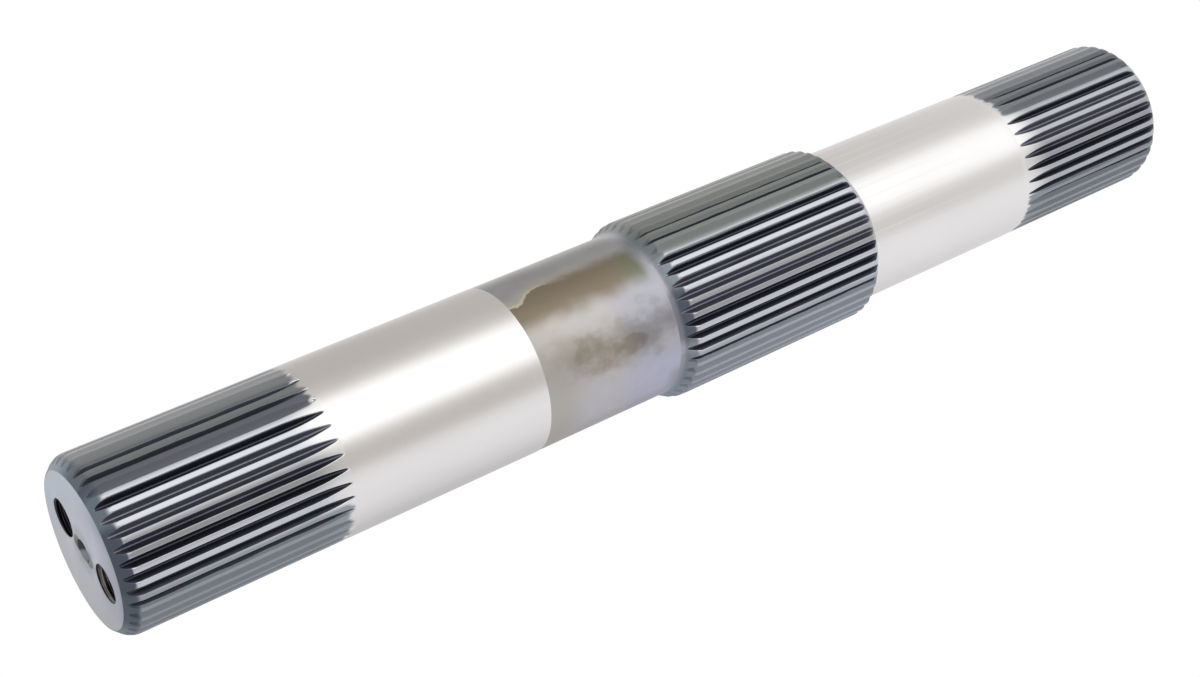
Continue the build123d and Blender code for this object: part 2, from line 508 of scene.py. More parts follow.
class Skin:
    """The shaft's surface while it is built up from rings of points."""

    def __init__(self):
        self.points = []
        self.values = {name: [] for name in POINT_VALUES}
        self.faces = []
        self.materials = []

    def ring(self, points, bright_radius=0.0, blackened=0.0, polish=1.0, tilt=0.0):
        """Adds a ring and gives the numbers of its points.

        Points sunk below the bright radius are in a groove. blackened is how black the blank's own
        surface is, from 0 to 1, and polish is how far the grinding wheel has reached, from 0 on a
        spline to 1 on a journal. tilt is the blank's slope, upwards for each unit outwards.
        """
        first = len(self.points)
        self.points.extend(points)
        sunk = [max(0.0, bright_radius - math.hypot(point[0], point[1])) / MM for point in points]
        self.values["sunk"].extend(sunk)
        for name, value in (("blackened", blackened), ("polish", polish), ("tilt", tilt)):
            self.values[name].extend([value] * len(points))
        return list(range(first, first + len(points)))

    def face(self, corners, material):
        self.faces.append(corners)
        self.materials.append(material)

    def join(self, upper, lower, material):
        """A strip of faces between two rings, whose outside is away from the axis."""
        if len(upper) != len(lower):
            self.stitch(upper, lower, material)
            return
        count = len(upper)
        for left in range(count):
            right = (left + 1) % count
            self.face((upper[left], lower[left], lower[right], upper[right]), material)

    def stitch(self, upper, lower, material):
        """A strip of triangles between two rings that have different numbers of points."""
        upper_angles, lower_angles = (
            np.unwrap([math.atan2(self.points[i][1], self.points[i][0]) for i in ring + ring[:1]])
            for ring in (upper, lower)
        )
        left = right = 0
        while left < len(upper) or right < len(lower):
            take_upper = right == len(lower) or (
                left < len(upper) and upper_angles[left + 1] < lower_angles[right + 1]
            )
            a, b = upper[left % len(upper)], lower[right % len(lower)]
            if take_upper:
                left += 1
                self.face((a, b, upper[left % len(upper)]), material)
            else:
                right += 1
                self.face((a, b, lower[right % len(lower)]), material)

    def close(self, ring, apex, material):
        """A fan of triangles from a ring to one point at the bottom of a hole."""
        tip = self.ring([apex])[0]
        for left in range(len(ring)):
            right = (left + 1) % len(ring)
            self.face((ring[right], ring[left], tip), material)

    def fill(self, outline, holes, faces_up, material):
        """Flat triangles between an outline and the rings of the holes in it."""
        loops = [outline] + holes
        numbers = [number for loop in loops for number in loop]
        flat = [Vector(self.points[number][:2]) / MM for number in numbers]
        edges = []
        first = 0
        for loop in loops:
            count = len(loop)
            edges += [(first + i, first + (i + 1) % count) for i in range(count)]
            first += count
        _, _, triangles, found, _, _ = delaunay_2d_cdt(flat, edges, [], INSIDE_OUTLINES, SAME_POINT)
        rims = [[Vector(self.points[number][:2]) for number in hole] for hole in holes]
        centres = [sum(rim, Vector((0, 0))) / len(rim) for rim in rims]
        radii = [(rim[0] - centre).length for rim, centre in zip(rims, centres)]
        for triangle in triangles:
            corners = [numbers[found[i][0]] for i in triangle]
            middle = sum((Vector(self.points[i][:2]) for i in corners), Vector((0, 0))) / 3
            if any((middle - centre).length < radius for centre, radius in zip(centres, radii)):
                continue
            self.face(tuple(corners if faces_up else reversed(corners)), material)

    def mesh(self, name):
        """The finished mesh, shaded smoothly with normals that large four-sided faces hold flat."""
        mesh = bpy.data.meshes.new(name)
        mesh.from_pydata([tuple(p) for p in self.points], [], self.faces)
        mesh.polygons.foreach_set("material_index", self.materials)
        mesh.polygons.foreach_set("use_smooth", [True] * len(self.faces))
        for name_of_value, values in self.values.items():
            layer = mesh.attributes.new(name_of_value, "FLOAT", "POINT")
            layer.data.foreach_set("value", np.array(values, np.float32))
        mesh.update()
        mesh.normals_split_custom_set_from_vertices(self.normals())
        return mesh

    def normals(self):
        """One normal for each point, to which each four-sided face adds its own by its area.

        Triangles add none, and a point that only they meet keeps the normal that Blender gives it.
        """
        points = np.array(self.points)
        total = np.zeros_like(points)
        quads = np.array([face for face in self.faces if len(face) == 4])
        ends = points[quads]
        area = np.cross(ends[:, 2] - ends[:, 0], ends[:, 3] - ends[:, 1])
        for corner in range(4):
            np.add.at(total, quads[:, corner], area)
        length = np.linalg.norm(total, axis=1)
        return total / np.where(length == 0, 1, length)[:, None]


def rounded_corner(before, corner, after, radius, rows):
    """Points of the arc that rounds a corner of the outline, as radius and height."""
    corner = Vector(corner)
    towards_before = (Vector(before) - corner).normalized()
    towards_after = (Vector(after) - corner).normalized()
    half = towards_before.angle(towards_after) / 2
    centre = corner + (towards_before + towards_after).normalized() * radius / math.sin(half)
    start = corner + towards_before * radius / math.tan(half)
    end = corner + towards_after * radius / math.tan(half)
    sweep = (start - centre).angle_signed(end - centre)
    turned = []
    for row in range(rows + 1):
        angle = -sweep * row / rows
        spoke = start - centre
        turned.append(
            (
                centre.x + spoke.x * math.cos(angle) - spoke.y * math.sin(angle),
                centre.y + spoke.x * math.sin(angle) + spoke.y * math.cos(angle),
            )
        )
    return turned


def exit_rows(spline, low, high):
    """Rows on a cone where its grooves begin, closer together where they are shallow.

    low and high are the cone's ends as radius and height, and low lies below the grooves' root.
    """
    share = (spline.root_radius - low[0]) / (high[0] - low[0])
    rows = [low]
    for step in range(EXIT_ROWS + 1):
        along = share + (1 - share) * (step / EXIT_ROWS) ** 2
        rows.append((low[0] + (high[0] - low[0]) * along, low[1] + (high[1] - low[1]) * along))
    return rows


def run_out_rows(spline):
    """Distances of the rows along the run-outs, from full depth to the surface."""
    remaining = [spline.depth * (1 - step / RUN_OUT_ROWS) ** 2 for step in range(RUN_OUT_ROWS + 1)]
    return [spline.run_out_length(spline.depth - depth) for depth in remaining]


def soft_step(value, low, high):
    """0 below low, 1 above high and a smooth rise between."""
    share = min(1.0, max(0.0, (value - low) / (high - low)))
    return share * share * (3 - 2 * share)


def blank_tilts(places):
    """The blank's slope at each place of its outline, upwards for each unit outwards."""
    radii, heights = np.array(places).T
    drops = -np.gradient(heights)
    return np.gradient(radii) / np.where(drops == 0, np.inf, drops)


def spline_rings(skin, spline, places, whole, blackness):
    """Rings on an outline's places, grooved after the first few, which are whole."""
    rings = []
    for number, (place, tilt) in enumerate(zip(places, blank_tilts(places))):
        points = spline.round_ring(*place) if number < whole else spline.grooved_ring(*place)
        rings.append(skin.ring(points, spline.bright_radius(*place), blackness(place[0]), 0.0, tilt))
    return rings


def end_spline(skin, sizes, spline, chamfer, fillet, end_height, journal_end, black_end):
    """Rings of a spline at one end of the shaft, from its end face to its journal."""
    edge = (spline.tip_radius - chamfer, end_height)
    tip = (spline.tip_radius, end_height - spline.outward * chamfer)
    inner = (edge[0] - 2 * chamfer, end_height)
    face_edge = rounded_corner(inner, edge, tip, sizes.edge_round, EDGE_ROWS)
    face_edge.insert(0, (face_edge[0][0] - sizes.edge_round, end_height))
    tip_corner = rounded_corner(edge, tip, (tip[0], journal_end), fillet, FILLET_ROWS)
    places = face_edge + exit_rows(spline, face_edge[-1], tip_corner[0])[1:] + tip_corner[1:]

    def blackness(radius):
        return soft_step(spline.tip_radius - radius, BLACK_FROM, BLACK_TO) if black_end else 0.0

    rings = spline_rings(skin, spline, places, len(face_edge), blackness)
    reaches = run_out_rows(spline)
    for reach in reaches:
        place = (spline.tip_radius, spline.full_depth_end - spline.outward * reach)
        polish = reach / reaches[-1]
        rings.append(skin.ring(spline.grooved_ring(*place), spline.bright_radius(*place), polish=polish))
    rings.append(skin.ring(spline.round_ring(spline.tip_radius, journal_end)))
    return rings


def centre_spline_rings(skin, sizes, finish, spline, plain_radius, journal_radius_below):
    """Rings of the large spline in the middle, from its shoulder down to the far journal."""
    shoulder_length = (spline.tip_radius - plain_radius) / math.tan(sizes.shoulder_angle)
    foot = (plain_radius, centre_spline_top)
    top = (spline.tip_radius, centre_spline_top - shoulder_length)
    chamfer = spline.tip_radius - journal_radius_below
    bottom = (spline.tip_radius, centre_spline_bottom + chamfer)
    last = (journal_radius_below, centre_spline_bottom)
    above_foot = (plain_radius, centre_spline_top + chamfer)
    foot_corner = rounded_corner(above_foot, foot, top, sizes.foot_fillet, FOOT_ROWS)
    top_corner = rounded_corner(foot, top, bottom, sizes.shoulder_fillet, FILLET_ROWS)
    bottom_corner = rounded_corner(top, bottom, last, sizes.back_fillet, FILLET_ROWS)

    def blackness(radius):
        rising = soft_step(radius - plain_radius, 0.0, shoulder_length * SHOULDER_FADE)
        return finish.shoulder_black * rising * soft_step(spline.tip_radius - radius, BLACK_FROM, BLACK_TO)

    upper = foot_corner + exit_rows(spline, foot_corner[-1], top_corner[0])[1:] + top_corner[1:]
    lower = bottom_corner + exit_rows(spline, last, bottom_corner[-1])[-2:0:-1]
    rings = spline_rings(skin, spline, upper, len(foot_corner), blackness)
    rings += spline_rings(skin, spline, lower, 0, lambda radius: 0.0)
    rings.append(skin.ring(spline.round_ring(*last)))
    return rings


def join_all(skin, rings, material):
    for upper, lower in zip(rings, rings[1:]):
        skin.join(upper, lower, material)


def hole_ring(skin, place, radii, depth):
    """A ring of a hole in an end face, with one radius or one for each column."""
    turns = np.exp(2j * math.pi * np.arange(HOLE_COLUMNS) / HOLE_COLUMNS)
    flat = ring_points(radii * turns, -depth)
    return skin.ring([tuple(place @ Vector(point)) for point in flat])


def drill_point(skin, sizes, ring, place, radius, depth):
    """Closes a drilled hole with the cone that the drill leaves below its wall."""
    point = radius / math.tan(sizes.drill_point_angle / 2)
    skin.close(ring, tuple(place @ Vector((0, 0, -depth - point))), TAPPED)


def tapped_hole(skin, sizes, place):
    """A countersunk hole with a thread cut in its wall. Gives the ring at its mouth."""
    angles = 2 * math.pi * np.arange(HOLE_COLUMNS) / HOLE_COLUMNS
    support = sizes.countersink_radius + 2 * sizes.edge_round
    mouth = hole_ring(skin, place, support, 0.0)
    rings = [mouth, hole_ring(skin, place, sizes.countersink_radius, sizes.edge_round * RIM_DROP)]
    countersink_slope = math.tan(sizes.countersink_angle / 2)
    largest = sizes.countersink_radius + sizes.edge_round
    row_height = sizes.thread_pitch / THREAD_ROWS_PER_TURN
    for row in range(1, int(sizes.thread_length / row_height)):
        depth = row * row_height
        ends = min(depth, sizes.thread_length - depth) / sizes.thread_pitch
        cut = sizes.thread_depth * min(1.0, 2 * ends)
        phase = (depth / sizes.thread_pitch + angles / (2 * math.pi)) % 1.0
        vee = np.clip(VEE_STEEPNESS * np.abs(2 * phase - 1) - VEE_CREST, 0.0, 1.0)
        countersink = sizes.countersink_radius - depth * countersink_slope
        radii = np.maximum(tap_drill_radius + cut * vee, max(countersink, tap_drill_radius))
        rings.append(hole_ring(skin, place, np.minimum(radii, largest), depth))
    for depth in (sizes.thread_length, sizes.drill_depth):
        rings.append(hole_ring(skin, place, tap_drill_radius, depth))
    for number, (deeper, shallower) in enumerate(zip(rings[1:], rings)):
        skin.join(deeper, shallower, FACED if number < MOUTH_ROWS else TAPPED)
    drill_point(skin, sizes, rings[-1], place, tap_drill_radius, sizes.drill_depth)
    return mouth


def lathe_centre(skin, sizes, place):
    """The centre-drilled hole that the shaft was turned on. Gives the ring at its mouth."""
    cone_depth = (sizes.centre_radius - sizes.pilot_radius) / math.tan(sizes.centre_angle / 2)
    mouth = hole_ring(skin, place, sizes.centre_radius + sizes.edge_round, 0.0)
    rings = [
        mouth,
        hole_ring(skin, place, sizes.centre_radius, sizes.edge_round * RIM_DROP),
        hole_ring(skin, place, sizes.pilot_radius + sizes.edge_round, cone_depth - sizes.edge_round),
        hole_ring(skin, place, sizes.pilot_radius, cone_depth + sizes.edge_round),
        hole_ring(skin, place, sizes.pilot_radius, sizes.pilot_depth),
    ]
    for number, (deeper, shallower) in enumerate(zip(rings[1:], rings)):
        skin.join(deeper, shallower, CENTRED if number < MOUTH_ROWS else TAPPED)
    drill_point(skin, sizes, rings[-1], place, sizes.pilot_radius, sizes.pilot_depth)
    return mouth


def end_face(skin, sizes, outline, place, bolt_spacing, bolt_azimuth, faces_up):
    """An end face with its two tapped holes and its lathe centre."""
    mouths = [lathe_centre(skin, sizes, place)]
    for azimuth in (bolt_azimuth, bolt_azimuth + math.pi):
        turn = Matrix.Rotation(azimuth, 4, "Z") @ Matrix.Translation((bolt_spacing / 2, 0, 0))
        mouths.append(tapped_hole(skin, sizes, place @ turn))
    skin.fill(outline, mouths, faces_up, FACED)


def shaft_mesh(sizes, finish):
    """The whole surface of the shaft as one closed mesh."""
    near_spline_end = near_journal_top + sizes.lead_in_length
    far_spline_end = far_journal_bottom - sizes.lead_in_length
    near = Spline(sizes, sizes.near_teeth, 0.0, finish.near_bright_flank, near_spline_end, 1)
    centre = Spline(sizes, sizes.centre_teeth, sizes.centre_azimuth, finish.centre_bright_flank)
    far = Spline(sizes, sizes.far_teeth, sizes.far_azimuth, finish.far_bright_flank, far_spline_end, -1)
    near_radius = journal_radius("near_journal")
    far_radius = journal_radius("far_journal")
    plain_radius = near_radius - sizes.plain_band_drop
    plain_top = near_journal_bottom - sizes.lead_in_length
    skin = Skin()

    near_rings = end_spline(
        skin, sizes, near, sizes.near_chamfer, sizes.near_fillet, overall_length, near_spline_end, True
    )
    journal = [
        skin.ring(near.round_ring(near_radius, height))
        for height in (near_journal_top, near_journal_bottom)
    ]
    plain = [
        skin.ring(near.round_ring(plain_radius, height))
        for height in (plain_top, plain_top - STITCH_LENGTH)
    ]
    seam = skin.ring(centre.round_ring(plain_radius, plain_top - 2 * STITCH_LENGTH))
    centre_rings = centre_spline_rings(skin, sizes, finish, centre, plain_radius, far_radius)
    far_seam = skin.ring(centre.round_ring(far_radius, far_journal_bottom + 2 * STITCH_LENGTH))
    far_journal = [
        skin.ring(far.round_ring(far_radius, height))
        for height in (far_journal_bottom + STITCH_LENGTH, far_journal_bottom)
    ]
    far_rings = end_spline(skin, sizes, far, sizes.far_chamfer, sizes.far_fillet, 0.0, far_spline_end, False)
    far_rings.reverse()

    join_all(skin, near_rings + journal, WORKED)
    join_all(skin, journal[-1:] + plain + [seam, centre_rings[0]], STAINED)
    join_all(skin, centre_rings + [far_seam] + far_journal + far_rings, WORKED)
    upright = Matrix.Translation((0, 0, overall_length))
    upside_down = Matrix.Rotation(math.pi, 4, "X")
    end_face(skin, sizes, near_rings[0], upright, near_bolt_spacing, 0.0, True)
    end_face(skin, sizes, far_rings[-1], upside_down, far_bolt_spacing, math.pi / 2, False)
    return skin.mesh(NODE + "_skin")


def shaded(color, factor):
    """A colour made lighter or darker."""
    return [min(1.0, factor * channel) for channel in color]


class Graph:
    """A node tree that is built with short calls."""

    # Numbers of a mix node's two inputs and of its output, for colours and for vectors
    MIX_SOCKETS = {"RGBA": (6, 7, 2), "VECTOR": (4, 5, 1)}

    def __init__(self, tree):
        self.tree = tree
        tree.nodes.clear()

    def add(self, kind, inputs=None, **settings):
        """Adds a node. Each input is a number, a colour or another node's socket."""
        node = self.tree.nodes.new(kind)
        for name, value in settings.items():
            setattr(node, name, value)
        for name, value in (inputs or {}).items():
            if isinstance(value, bpy.types.NodeSocket):
                self.tree.links.new(value, node.inputs[name])
            else:
                node.inputs[name].default_value = value
        return node

    def math(self, operation, first, second=0.0):
        return self.add("ShaderNodeMath", {0: first, 1: second}, operation=operation).outputs[0]

    def product(self, first, second):
        return self.math("MULTIPLY", first, second)

    def vector(self, operation, first, second=(0.0, 0.0, 0.0)):
        return self.add("ShaderNodeVectorMath", {0: first, 1: second}, operation=operation).outputs[0]

    def length(self, vector):
        return self.add("ShaderNodeVectorMath", {0: vector}, operation="LENGTH").outputs["Value"]

    def smooth(self, value, low, high):
        """0 below low, 1 above high and a soft step between. It falls instead where low is the larger."""
        steps = {"Value": value, "From Min": low, "From Max": high}
        return self.add("ShaderNodeMapRange", steps, interpolation_type="SMOOTHSTEP").outputs["Result"]

    def window(self, value, low, high, edge):
        """1 between low and high, and 0 past soft edges of this width inside them."""
        rising = self.smooth(value, low, low + edge)
        return self.product(rising, self.smooth(value, high, high - edge))

    def mix(self, share, first, second, data_type="RGBA"):
        """One colour or vector turning into another."""
        node = self.add("ShaderNodeMix", {"Factor": share}, data_type=data_type)
        *inputs, output = self.MIX_SOCKETS[data_type]
        for number, value in zip(inputs, (first, second)):
            if isinstance(value, bpy.types.NodeSocket):
                self.tree.links.new(value, node.inputs[number])
            else:
                node.inputs[number].default_value = (*value, 1.0)
        return node.outputs[output]

    def place(self):
        """Coordinates on the object."""
        return self.add("ShaderNodeTexCoord").outputs["Object"]

    def point_value(self, name):
        """A value that the mesh holds at its points."""
        return self.add("ShaderNodeAttribute", attribute_name=name).outputs["Fac"]

    def noise(self, place, scale, detail=3.0):
        """Soft noise about zero, with this many lumps to the metre along each axis."""
        stretched = self.add("ShaderNodeMapping", {"Vector": place, "Scale": scale}).outputs[0]
        inputs = {"Vector": stretched, "Scale": 1.0, "Detail": detail}
        return self.math("SUBTRACT", self.add("ShaderNodeTexNoise", inputs).outputs["Fac"], 0.5)

    def mottled(self, noise, color, spread):
        """A colour that noise makes lighter and darker by up to this share."""
        return self.mix(self.math("ADD", noise, 0.5), shaded(color, 1 - spread), shaded(color, 1 + spread))

    def scaled(self, color, factor):
        """A colour made lighter or darker by a factor that varies."""
        return self.add("ShaderNodeVectorMath", {0: color, "Scale": factor}, operation="SCALE").outputs[0]

    def varied(self, level, *swings):
        """A number that each value and its weight pushes up or down."""
        for value, weight in swings:
            level = self.math("ADD", level, self.product(value, weight))
        return level

    def round_the_shaft(self, place):
        """Azimuth in degrees and height in millimetres."""
        split = self.add("ShaderNodeSeparateXYZ", {"Vector": place}).outputs
        azimuth = self.product(self.math("ARCTAN2", split["Y"], split["X"]), math.degrees(1))
        return azimuth, self.product(split["Z"], 1 / MM)

    def spot(self, azimuth, height, centre, halves):
        """Distance from a spot's centre, 1 at its edge."""
        across, along = (
            self.math("DIVIDE", self.math("SUBTRACT", value, middle), half)
            for value, middle, half in zip((azimuth, height), centre, halves)
        )
        squares = self.math("ADD", self.product(across, across), self.product(along, along))
        return self.math("SQRT", squares)

    def levelled_normal(self, place, tilt, share):
        """The surface's normal, turned by this share towards that of the blank without its grooves."""
        outwards = self.vector("NORMALIZE", self.vector("MULTIPLY", place, (1, 1, 0)))
        raised = self.vector("ADD", outwards, self.add("ShaderNodeCombineXYZ", {"Z": tilt}).outputs[0])
        blank = self.add(
            "ShaderNodeVectorTransform", {"Vector": raised},
            vector_type="NORMAL", convert_from="OBJECT", convert_to="WORLD",
        )
        own = self.add("ShaderNodeNewGeometry").outputs["Normal"]
        return self.vector("NORMALIZE", self.mix(share, own, blank.outputs[0], "VECTOR"))

    def bump(self, height, distance, normal=None):
        """A normal that leans with the height, over the normal that it is given."""
        node = self.add("ShaderNodeBump", {"Height": height, "Distance": distance})
        if normal:
            self.tree.links.new(normal, node.inputs["Normal"])
        return node.outputs["Normal"]

    def finish(self, surface, color, roughness, normal=None):
        """Links what varies over the surface to its shader."""
        links = {"Base Color": color, "Roughness": roughness, "Normal": normal}
        for name, value in links.items():
            if value:
                self.tree.links.new(value, surface.inputs[name])


def steel(name, anisotropy):
    """A bare steel material. Gives the material, its graph and its surface node."""
    material = bpy.data.materials.new(name)
    material.use_nodes = True
    graph = Graph(material.node_tree)
    output = graph.add("ShaderNodeOutputMaterial")
    surface = graph.add("ShaderNodeBsdfPrincipled", {"Metallic": 1.0, "Anisotropic": anisotropy})
    graph.tree.links.new(surface.outputs["BSDF"], output.inputs["Surface"])
    if anisotropy:
        tangent = graph.add("ShaderNodeTangent", direction_type="RADIAL", axis="Z")
        graph.tree.links.new(tangent.outputs[0], surface.inputs["Tangent"])
    return material, graph, surface


def film_and_shading_on_splines(graph, azimuth, polish, near_spline, cloud, ragged):
    """How far oil and its painted shade and light cover the teeth, from 0 to 1, and how deep the grooves are
    hidden by oil and painted light.
    """
    wavering = graph.varied(azimuth, (cloud, 4.0))
    # Oil with painted shade and light over the teeth, in sectors
    film_and_shading = 0.0
    for low, high in FILM_AND_SHADING_SECTORS:
        film_and_shading = graph.math("ADD", film_and_shading, graph.window(wavering, low, high, FILM_AND_SHADING_EDGE))
    # Depth to which the grooves are hidden by oil and painted light
    level = graph.varied(0.0, (ragged, 0.5))
    for low, high, near_level, other_level in GROOVE_FILL_AND_LIGHT:
        filled_or_lit_to = graph.varied(other_level, (near_spline, near_level - other_level))
        low, high = low - GROOVE_FILL_AND_LIGHT_EDGE / 2, high + GROOVE_FILL_AND_LIGHT_EDGE / 2
        level = graph.varied(level, (graph.window(wavering, low, high, GROOVE_FILL_AND_LIGHT_EDGE), filled_or_lit_to))
    level = graph.math("MAXIMUM", level, 0.0)
    clear_of_journal = graph.smooth(graph.varied(polish, (ragged, 0.5)), *RAGGED_SHADING_END)
    clear_of_journal = graph.product(clear_of_journal, graph.smooth(polish, *SHARP_SHADING_END))
    return graph.product(film_and_shading, clear_of_journal), graph.product(level, clear_of_journal)


def film_shading_by_side(graph, finish, azimuth):
    """The oil's colour with painted shade and light by side: darkest on the upper side, lighter on the lower
    side and lightest towards the top.
    """
    color = graph.mix(graph.smooth(azimuth, *TO_LOW_FILM_LIGHT), finish.film_shading_color, finish.low_film_light_color)
    return graph.mix(graph.smooth(azimuth, *TO_TOP_FILM_LIGHT), color, finish.top_film_light_color)


def shoulder_shading(graph, azimuth):
    """How far painted shade and light in the oil's colours reaches onto the plain band beside the shoulder,
    above and below.
    """
    return graph.math(
        "MAXIMUM", graph.window(azimuth, *SHOULDER_SHADING_ABOVE), graph.window(azimuth, *SHOULDER_SHADING_BELOW)
    )


def shares_of_splines(graph, height):
    """How far a point lies on the near, the centre and the far spline, each from 0 to 1."""
    near = graph.smooth(height, near_journal_top / MM - BORDER, near_journal_top / MM + BORDER)
    centre = graph.window(
        height, centre_spline_bottom / MM - BORDER, centre_spline_top / MM + BORDER, BORDER
    )
    far = graph.smooth(height, far_journal_bottom / MM + BORDER, far_journal_bottom / MM - BORDER)
    return near, centre, far


def film_shading_on_teeth(graph, finish, azimuth, splines):
    """The oil's colour with its painted shade and light: greenish on the centre spline, a strip of painted
    shade on the near one, lighter on the centre spline and darker on the far one.
    """
    near, centre, far = splines
    green_share = graph.product(graph.product(centre, graph.smooth(azimuth, *TO_GREEN_FILM)), 0.35)
    color = graph.mix(green_share, film_shading_by_side(graph, finish, azimuth), finish.green_color)
    # Painted shade in one strip of the near spline
    shade_strip_share = graph.product(graph.product(near, graph.window(azimuth, *DARK_SHADE_STRIP)), 0.85)
    color = graph.mix(shade_strip_share, color, shaded(finish.groove_light_color, 0.65))
    # Painted light on the centre spline and painted shade on the far one
    return graph.scaled(color, graph.varied(1.0, (centre, 0.16), (far, -0.14)))


def clean_teeth(graph, finish, azimuth, far_spline, cloud):
    """Bare tops of the teeth, with painted shade in one strip, painted light beside it and painted shade on
    the far spline.
    """
    color = graph.mottled(cloud, finish.land_color, 0.08)
    # Painted shade in one strip, painted light beside it, and painted shade on the far spline
    teeth_shade, teeth_light, far = (shaded(finish.land_color, factor) for factor in (0.82, 1.1, 0.7))
    color = graph.mix(graph.window(azimuth, *SHADED_TEETH), color, teeth_shade)
    color = graph.mix(graph.window(azimuth, *LIT_TEETH), color, teeth_light)
    return graph.mix(graph.product(far_spline, 0.6), color, far)


def shoulder_foot(graph, finish, azimuth, forward_shade):
    """The rounding at the shoulder's foot, dimmed as painted shade in its crease, in the oil's painted shade
    and light above and below, and black as painted shade in one strip facing the front.
    """
    # A darker copy of the plain band, as painted shade in the foot's crease
    dull_shade = shaded(finish.plain_color, 0.9)
    # The oil's painted shade and light above and below
    color = graph.mix(shoulder_shading(graph, azimuth), dull_shade, film_shading_by_side(graph, finish, azimuth))
    # Black as painted shade in one strip facing the front
    return graph.mix(graph.product(forward_shade, 0.55), color, finish.black_color)


def black_ends(graph, finish, azimuth, film_and_shading, film_shading_color, cloud):
    """The blackened ends' colour, with painted light in one strip, under the oil and its painted shade and
    light, which covers them less in one sector.
    """
    # Painted light in one strip of the ends
    ends_light = graph.product(graph.window(azimuth, *LIT_ENDS), 0.45)
    color = graph.mix(ends_light, graph.mottled(cloud, finish.black_color, 0.2), finish.low_film_light_color)
    # How much of the oil's painted shade and light covers the ends
    oil_and_light = graph.varied(0.6, (graph.window(azimuth, *LESS_FILM_AND_SHADING_ON_ENDS), -0.45))
    return graph.mix(graph.product(film_and_shading, oil_and_light), color, film_shading_color)


def black_share(graph, blackened, forward_shade, cloud, ragged):
    """How black an end is, blacker as painted shade in one strip facing the front, with an uneven edge."""
    # Blacker as painted shade in one strip facing the front
    blacker = graph.product(blackened, graph.varied(1.0, (forward_shade, 0.9)))
    uneven = graph.smooth(graph.varied(blackened, (ragged, 0.6), (cloud, 0.8)), *BLACK_EDGE)
    return graph.product(graph.math("MINIMUM", blacker, 1.0), uneven)


def black_grooves(graph, finish, azimuth, centre_spline, cloud, ragged):
    """The grooves' black, which painted light greys in one strip."""
    wavering = graph.varied(azimuth, (ragged, 8.0), (centre_spline, 7.0))
    # Painted light greys the grooves in one strip
    groove_light = graph.product(graph.window(wavering, *LIT_GROOVES), 0.9)
    return graph.mix(groove_light, graph.mottled(cloud, finish.deep_color, 0.2), finish.groove_light_color)


def worked_steel(finish):
    """The splines and journals: black in the grooves, filmed with oil under painted shade and light, and
    ground bright.
    """
    material, graph, surface = steel("worked_steel", 0.5)
    place = graph.place()
    azimuth, height = graph.round_the_shaft(place)
    sunk, blackened, polish, tilt = (graph.point_value(name) for name in POINT_VALUES)
    cloud = graph.noise(place, (60, 60, 25), 4.0)
    ragged = graph.noise(place, (500, 500, 90))
    turned = graph.noise(place, (25, 25, 5000))
    # A strip of painted shade on the shoulder's foot and the black ends
    forward_shade = graph.window(azimuth, *FORWARD_SHADE_STRIP)
    near_spline, centre_spline, far_spline = splines = shares_of_splines(graph, height)
    film_and_shading, level = film_and_shading_on_splines(graph, azimuth, polish, near_spline, cloud, ragged)
    film_shading_color = film_shading_on_teeth(graph, finish, azimuth, splines)
    groove = graph.smooth(graph.math("SUBTRACT", sunk, level), GROOVE_FROM, GROOVE_TO)
    foot_height = centre_spline_top / MM
    foot = graph.window(height, foot_height - FOOT_BELOW, foot_height + FOOT_ABOVE, FOOT_EDGE)

    # Tops of the teeth, the shoulder's foot and the ground journals
    land = graph.mix(film_and_shading, clean_teeth(graph, finish, azimuth, far_spline, cloud), film_shading_color)
    land = graph.mix(foot, land, shoulder_foot(graph, finish, azimuth, forward_shade))
    ground = graph.mottled(cloud, finish.ground_color, 0.04)
    land = graph.mix(graph.smooth(graph.math("SUBTRACT", polish, film_and_shading), 0.0, 1.0), land, ground)

    # Blackened ends and grooves
    black = black_ends(graph, finish, azimuth, film_and_shading, film_shading_color, cloud)
    land = graph.mix(black_share(graph, blackened, forward_shade, cloud, ragged), land, black)
    deep = black_grooves(graph, finish, azimuth, centre_spline, cloud, ragged)
    color = graph.mix(groove, land, deep)

    roughness = graph.varied(0.25, (turned, 0.1), (groove, 0.08), (blackened, 0.08), (film_and_shading, 0.18))
    roughness = graph.varied(roughness, (foot, 0.15))
    level_share = graph.product(film_and_shading, graph.math("SUBTRACT", 0.94, groove))
    normal = graph.levelled_normal(place, tilt, graph.math("MAXIMUM", level_share, 0.0))
    graph.finish(surface, color, roughness, graph.bump(turned, 0.0015 * MM, normal))
    return material


def clean_band(graph, finish, place, azimuth, height, fading, cloud, mottle):
    """Clean steel of the plain band, which varies in tone and hue, has painted light towards the top, lilac
    painted light on its lower side and painted shade towards the bottom, and greys beside the journal.
    """
    broad = graph.noise(place, (70, 70, 55), 2.0)
    color = graph.mix(graph.smooth(broad, -0.12, 0.12), finish.plain_color, finish.bluish_color)
    color = graph.mix(graph.smooth(azimuth, *TO_UPPER_PLAIN), color, finish.upper_color)
    # Painted light towards the top
    color = graph.mix(graph.smooth(azimuth, *TO_TOP_LIGHT_PLAIN), color, shaded(finish.upper_color, 1.75))
    # Lilac painted light on the lower side, and painted shade towards the bottom
    color = graph.mix(graph.smooth(fading, *TO_LILAC_LIGHT_PLAIN), color, finish.lilac_light_color)
    color = graph.mix(graph.smooth(fading, *TO_LOWEST_SHADE_PLAIN), color, shaded(finish.lilac_light_color, 0.85))
    color = graph.scaled(color, graph.varied(1.0, (cloud, 0.35), (mottle, 0.12)))
    margin = graph.product(graph.smooth(height, *GREY_MARGIN), graph.smooth(azimuth, *TO_GREY_MARGIN))
    return graph.mix(margin, color, finish.grey_color)


